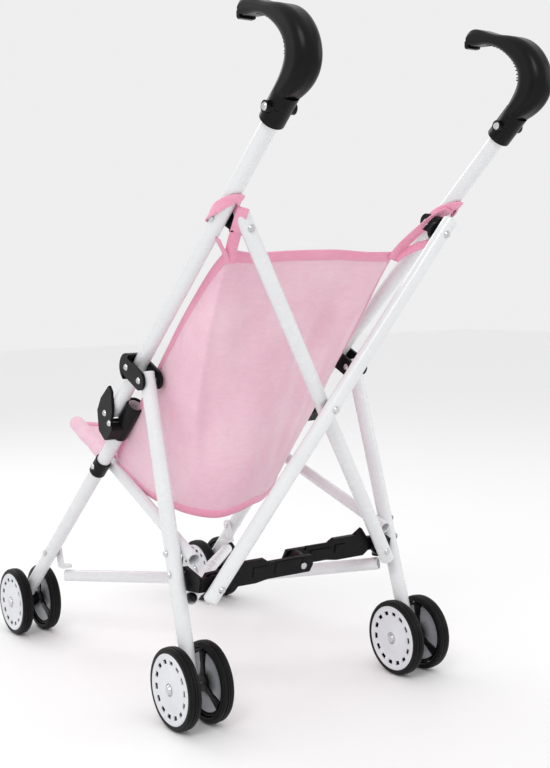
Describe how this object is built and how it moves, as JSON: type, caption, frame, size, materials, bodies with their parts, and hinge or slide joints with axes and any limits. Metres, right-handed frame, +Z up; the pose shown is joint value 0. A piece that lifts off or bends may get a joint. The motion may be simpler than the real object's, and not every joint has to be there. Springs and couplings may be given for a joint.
{
  "type": "doll stroller",
  "caption": "Folding umbrella-style doll stroller: white tube side frames, rear cross, hooked push handles, twin-wheel casters and a pink sling seat.",
  "frame": {"origin": "on the floor, under the middle of the whole object", "axes": "+Z up, the stroller faces -Y, its own left side is +X"},
  "size_m": [0.2864, 0.5649, 0.5786],
  "materials": {
    "white_paint": "gloss",
    "black_plastic": "gloss",
    "steel": "satin",
    "tyre": "matte",
    "disc": "satin",
    "cloth": "thin woven nylon"
  },
  "bodies": {
    "middle": {"x_centre_rivet": "steel", "seat_sling": "cloth"},
    "cross_left": {"x_tube_left": "white_paint", "x_rivets_left": "steel"},
    "top_wedge_left": {"top_bracket_left": "black_plastic"},
    "upper_left": {"upper_tube_left": "white_paint", "handle_left": "black_plastic", "leg_link_left": "black_plastic", "tube_rivets_left": "steel"},
    "front_left": {"lower_tube_left": "white_paint", "knee_joint_left": "black_plastic", "seat_clip_left": "black_plastic", "front_stub_left": "black_plastic", "knee_rivets_left": "steel", "axle_front_left": "steel"},
    "drop_left": {"drop_link_left": "white_paint"},
    "low_wedge_left": {"low_bracket_left": "black_plastic"},
    "leg_left": {"rear_leg_left": "white_paint", "leg_rivets_left": "steel", "axle_rear_left": "steel"},
    "seatbar_left": {"seat_bar_left": "white_paint"},
    "lowbar_left": {"lower_bar_left": "white_paint"},
    "brace_left": {"brace_left": "white_paint"},
    "wheel_front_outer_left": {"hub_front_outer_left": "disc", "tyre_front_outer_left": "tyre"},
    "wheel_front_inner_left": {"hub_front_inner_left": "disc", "tyre_front_inner_left": "tyre"},
    "wheel_rear_outer_left": {"hub_rear_outer_left": "disc", "tyre_rear_outer_left": "tyre"},
    "wheel_rear_inner_left": {"hub_rear_inner_left": "disc", "tyre_rear_inner_left": "tyre"},
    "cross_right": {"x_tube_right": "white_paint", "x_rivets_right": "steel"},
    "top_wedge_right": {"top_bracket_right": "black_plastic"},
    "upper_right": {"upper_tube_right": "white_paint", "handle_right": "black_plastic", "leg_link_right": "black_plastic", "tube_rivets_right": "steel"},
    "front_right": {"lower_tube_right": "white_paint", "knee_joint_right": "black_plastic", "seat_clip_right": "black_plastic", "front_stub_right": "black_plastic", "knee_rivets_right": "steel", "axle_front_right": "steel"},
    "drop_right": {"drop_link_right": "white_paint"},
    "low_wedge_right": {"low_bracket_right": "black_plastic"},
    "leg_right": {"rear_leg_right": "white_paint", "leg_rivets_right": "steel", "axle_rear_right": "steel"},
    "seatbar_right": {"seat_bar_right": "white_paint"},
    "lowbar_right": {"lower_bar_right": "white_paint"},
    "brace_right": {"brace_right": "white_paint"},
    "wheel_front_outer_right": {"hub_front_outer_right": "disc", "tyre_front_outer_right": "tyre"},
    "wheel_front_inner_right": {"hub_front_inner_right": "disc", "tyre_front_inner_right": "tyre"},
    "wheel_rear_outer_right": {"hub_rear_outer_right": "disc", "tyre_rear_outer_right": "tyre"},
    "wheel_rear_inner_right": {"hub_rear_inner_right": "disc", "tyre_rear_inner_right": "tyre"}
  },
  "joints": [
    {"name": "fold", "type": "hinge", "parent": "middle", "child": "cross_left", "pos_m": [0, 0.1367, 0.2646], "axis": [0, -0.9733, 0.2297], "range_deg": [0, 10], "deforming": ["seat_sling"]},
    {"name": "cross_right_turn", "type": "hinge", "parent": "middle", "child": "cross_right", "pos_m": [0, 0.1367, 0.2646], "axis": [0, -0.9733, 0.2297], "range_deg": [-10.02, 0]},
    {"name": "top_bracket_turn_left", "type": "hinge", "parent": "cross_left", "child": "top_wedge_left", "pos_m": [0.0955, 0.17138, 0.41156], "axis": [0, -0.9733, 0.2297], "range_deg": [-10.02, 0]},
    {"name": "handle_tube_turn_left", "type": "hinge", "parent": "top_wedge_left", "child": "upper_left", "pos_m": [0.114, 0.151, 0.421], "axis": [1, 0, 0], "range_deg": [0, 11.6]},
    {"name": "knee_left", "type": "hinge", "parent": "upper_left", "child": "front_left", "pos_m": [0.11, -0.0444, 0.2526], "axis": [1, 0, 0], "range_deg": [-52.22, 0]},
    {"name": "drop_link_turn_left", "type": "hinge", "parent": "front_left", "child": "drop_left", "pos_m": [0.112, -0.1927, 0.0957], "axis": [1, 0, 0], "range_deg": [0, 40.64]},
    {"name": "low_bracket_turn_left", "type": "hinge", "parent": "cross_right", "child": "low_wedge_left", "pos_m": [0.0955, 0.10202, 0.11764], "axis": [0, -0.9733, 0.2297], "range_deg": [0, 10.02]},
    {"name": "rear_leg_turn_left", "type": "hinge", "parent": "low_wedge_left", "child": "leg_left", "pos_m": [0.1181, 0.0777, 0.1249], "axis": [1, 0, 0], "range_deg": [-12.42, 0]},
    {"name": "seat_bar_turn_left", "type": "hinge", "parent": "leg_left", "child": "seatbar_left", "pos_m": [0.1042, 0.0721, 0.142], "axis": [1, 0, 0], "range_deg": [0, 0.75]},
    {"name": "lower_bar_turn_left", "type": "hinge", "parent": "low_wedge_left", "child": "lowbar_left", "pos_m": [0.1036, 0.078, 0.1015], "axis": [-0.8864, -0.3175, 0.337], "range_deg": [0, 36.24]},
    {"name": "brace_turn_left", "type": "hinge", "parent": "low_wedge_left", "child": "brace_left", "pos_m": [0.0955, 0.10202, 0.11764], "axis": [0, -0.9733, 0.2297], "range_deg": [-44.77, 0]},
    {"name": "roll_front_outer_left", "type": "hinge", "parent": "front_left", "child": "wheel_front_outer_left", "pos_m": [0.1301, -0.248, 0.035], "axis": [1, 0, 0], "continuous": true},
    {"name": "roll_front_inner_left", "type": "hinge", "parent": "front_left", "child": "wheel_front_inner_left", "pos_m": [0.0989, -0.248, 0.035], "axis": [1, 0, 0], "continuous": true},
    {"name": "roll_rear_outer_left", "type": "hinge", "parent": "leg_left", "child": "wheel_rear_outer_left", "pos_m": [0.1352, 0.1025, 0.035], "axis": [1, 0, 0], "continuous": true},
    {"name": "roll_rear_inner_left", "type": "hinge", "parent": "leg_left", "child": "wheel_rear_inner_left", "pos_m": [0.104, 0.1025, 0.035], "axis": [1, 0, 0], "continuous": true},
    {"name": "top_bracket_turn_right", "type": "hinge", "parent": "cross_right", "child": "top_wedge_right", "pos_m": [-0.0955, 0.17138, 0.41156], "axis": [0, -0.9733, 0.2297], "range_deg": [0, 10.02]},
    {"name": "handle_tube_turn_right", "type": "hinge", "parent": "top_wedge_right", "child": "upper_right", "pos_m": [-0.114, 0.151, 0.421], "axis": [1, 0, 0], "range_deg": [0, 11.6]},
    {"name": "knee_right", "type": "hinge", "parent": "upper_right", "child": "front_right", "pos_m": [-0.11, -0.0444, 0.2526], "axis": [1, 0, 0], "range_deg": [-52.22, 0]},
    {"name": "drop_link_turn_right", "type": "hinge", "parent": "front_right", "child": "drop_right", "pos_m": [-0.112, -0.1927, 0.0957], "axis": [1, 0, 0], "range_deg": [0, 40.64]},
    {"name": "low_bracket_turn_right", "type": "hinge", "parent": "cross_left", "child": "low_wedge_right", "pos_m": [-0.0955, 0.10202, 0.11764], "axis": [0, -0.9733, 0.2297], "range_deg": [-10.02, 0]},
    {"name": "rear_leg_turn_right", "type": "hinge", "parent": "low_wedge_right", "child": "leg_right", "pos_m": [-0.1181, 0.0777, 0.1249], "axis": [1, 0, 0], "range_deg": [-12.42, 0]},
    {"name": "seat_bar_turn_right", "type": "hinge", "parent": "leg_right", "child": "seatbar_right", "pos_m": [-0.1042, 0.0721, 0.142], "axis": [1, 0, 0], "range_deg": [0, 0.75]},
    {"name": "lower_bar_turn_right", "type": "hinge", "parent": "low_wedge_right", "child": "lowbar_right", "pos_m": [-0.1036, 0.078, 0.1015], "axis": [-0.8864, 0.3175, -0.337], "range_deg": [0, 36.24]},
    {"name": "brace_turn_right", "type": "hinge", "parent": "low_wedge_right", "child": "brace_right", "pos_m": [-0.0955, 0.10202, 0.11764], "axis": [0, -0.9733, 0.2297], "range_deg": [0, 44.77]},
    {"name": "roll_front_outer_right", "type": "hinge", "parent": "front_right", "child": "wheel_front_outer_right", "pos_m": [-0.1301, -0.248, 0.035], "axis": [1, 0, 0], "continuous": true},
    {"name": "roll_front_inner_right", "type": "hinge", "parent": "front_right", "child": "wheel_front_inner_right", "pos_m": [-0.0989, -0.248, 0.035], "axis": [1, 0, 0], "continuous": true},
    {"name": "roll_rear_outer_right", "type": "hinge", "parent": "leg_right", "child": "wheel_rear_outer_right", "pos_m": [-0.1352, 0.1025, 0.035], "axis": [1, 0, 0], "continuous": true},
    {"name": "roll_rear_inner_right", "type": "hinge", "parent": "leg_right", "child": "wheel_rear_inner_right", "pos_m": [-0.104, 0.1025, 0.035], "axis": [1, 0, 0], "continuous": true}
  ],
  "couplings": [
    {"joint": "cross_right_turn", "follows": "fold", "ratio": -1},
    {"joint": "top_bracket_turn_left", "follows": "fold", "ratio": -1},
    {"joint": "handle_tube_turn_left", "follows": "fold", "ratio": 1.158},
    {"joint": "knee_left", "follows": "fold", "ratio": -5.22},
    {"joint": "drop_link_turn_left", "follows": "fold", "ratio": 4.062},
    {"joint": "low_bracket_turn_left", "follows": "fold", "ratio": 1},
    {"joint": "rear_leg_turn_left", "follows": "fold", "ratio": -1.24},
    {"joint": "seat_bar_turn_left", "follows": "fold", "ratio": 0.073},
    {"joint": "lower_bar_turn_left", "follows": "fold", "ratio": 3.622},
    {"joint": "brace_turn_left", "follows": "fold", "ratio": -4.475},
    {"joint": "top_bracket_turn_right", "follows": "fold", "ratio": 1},
    {"joint": "handle_tube_turn_right", "follows": "fold", "ratio": 1.158},
    {"joint": "knee_right", "follows": "fold", "ratio": -5.22},
    {"joint": "drop_link_turn_right", "follows": "fold", "ratio": 4.062},
    {"joint": "low_bracket_turn_right", "follows": "fold", "ratio": -1},
    {"joint": "rear_leg_turn_right", "follows": "fold", "ratio": -1.24},
    {"joint": "seat_bar_turn_right", "follows": "fold", "ratio": 0.073},
    {"joint": "lower_bar_turn_right", "follows": "fold", "ratio": 3.622},
    {"joint": "brace_turn_right", "follows": "fold", "ratio": 4.475}
  ]
}
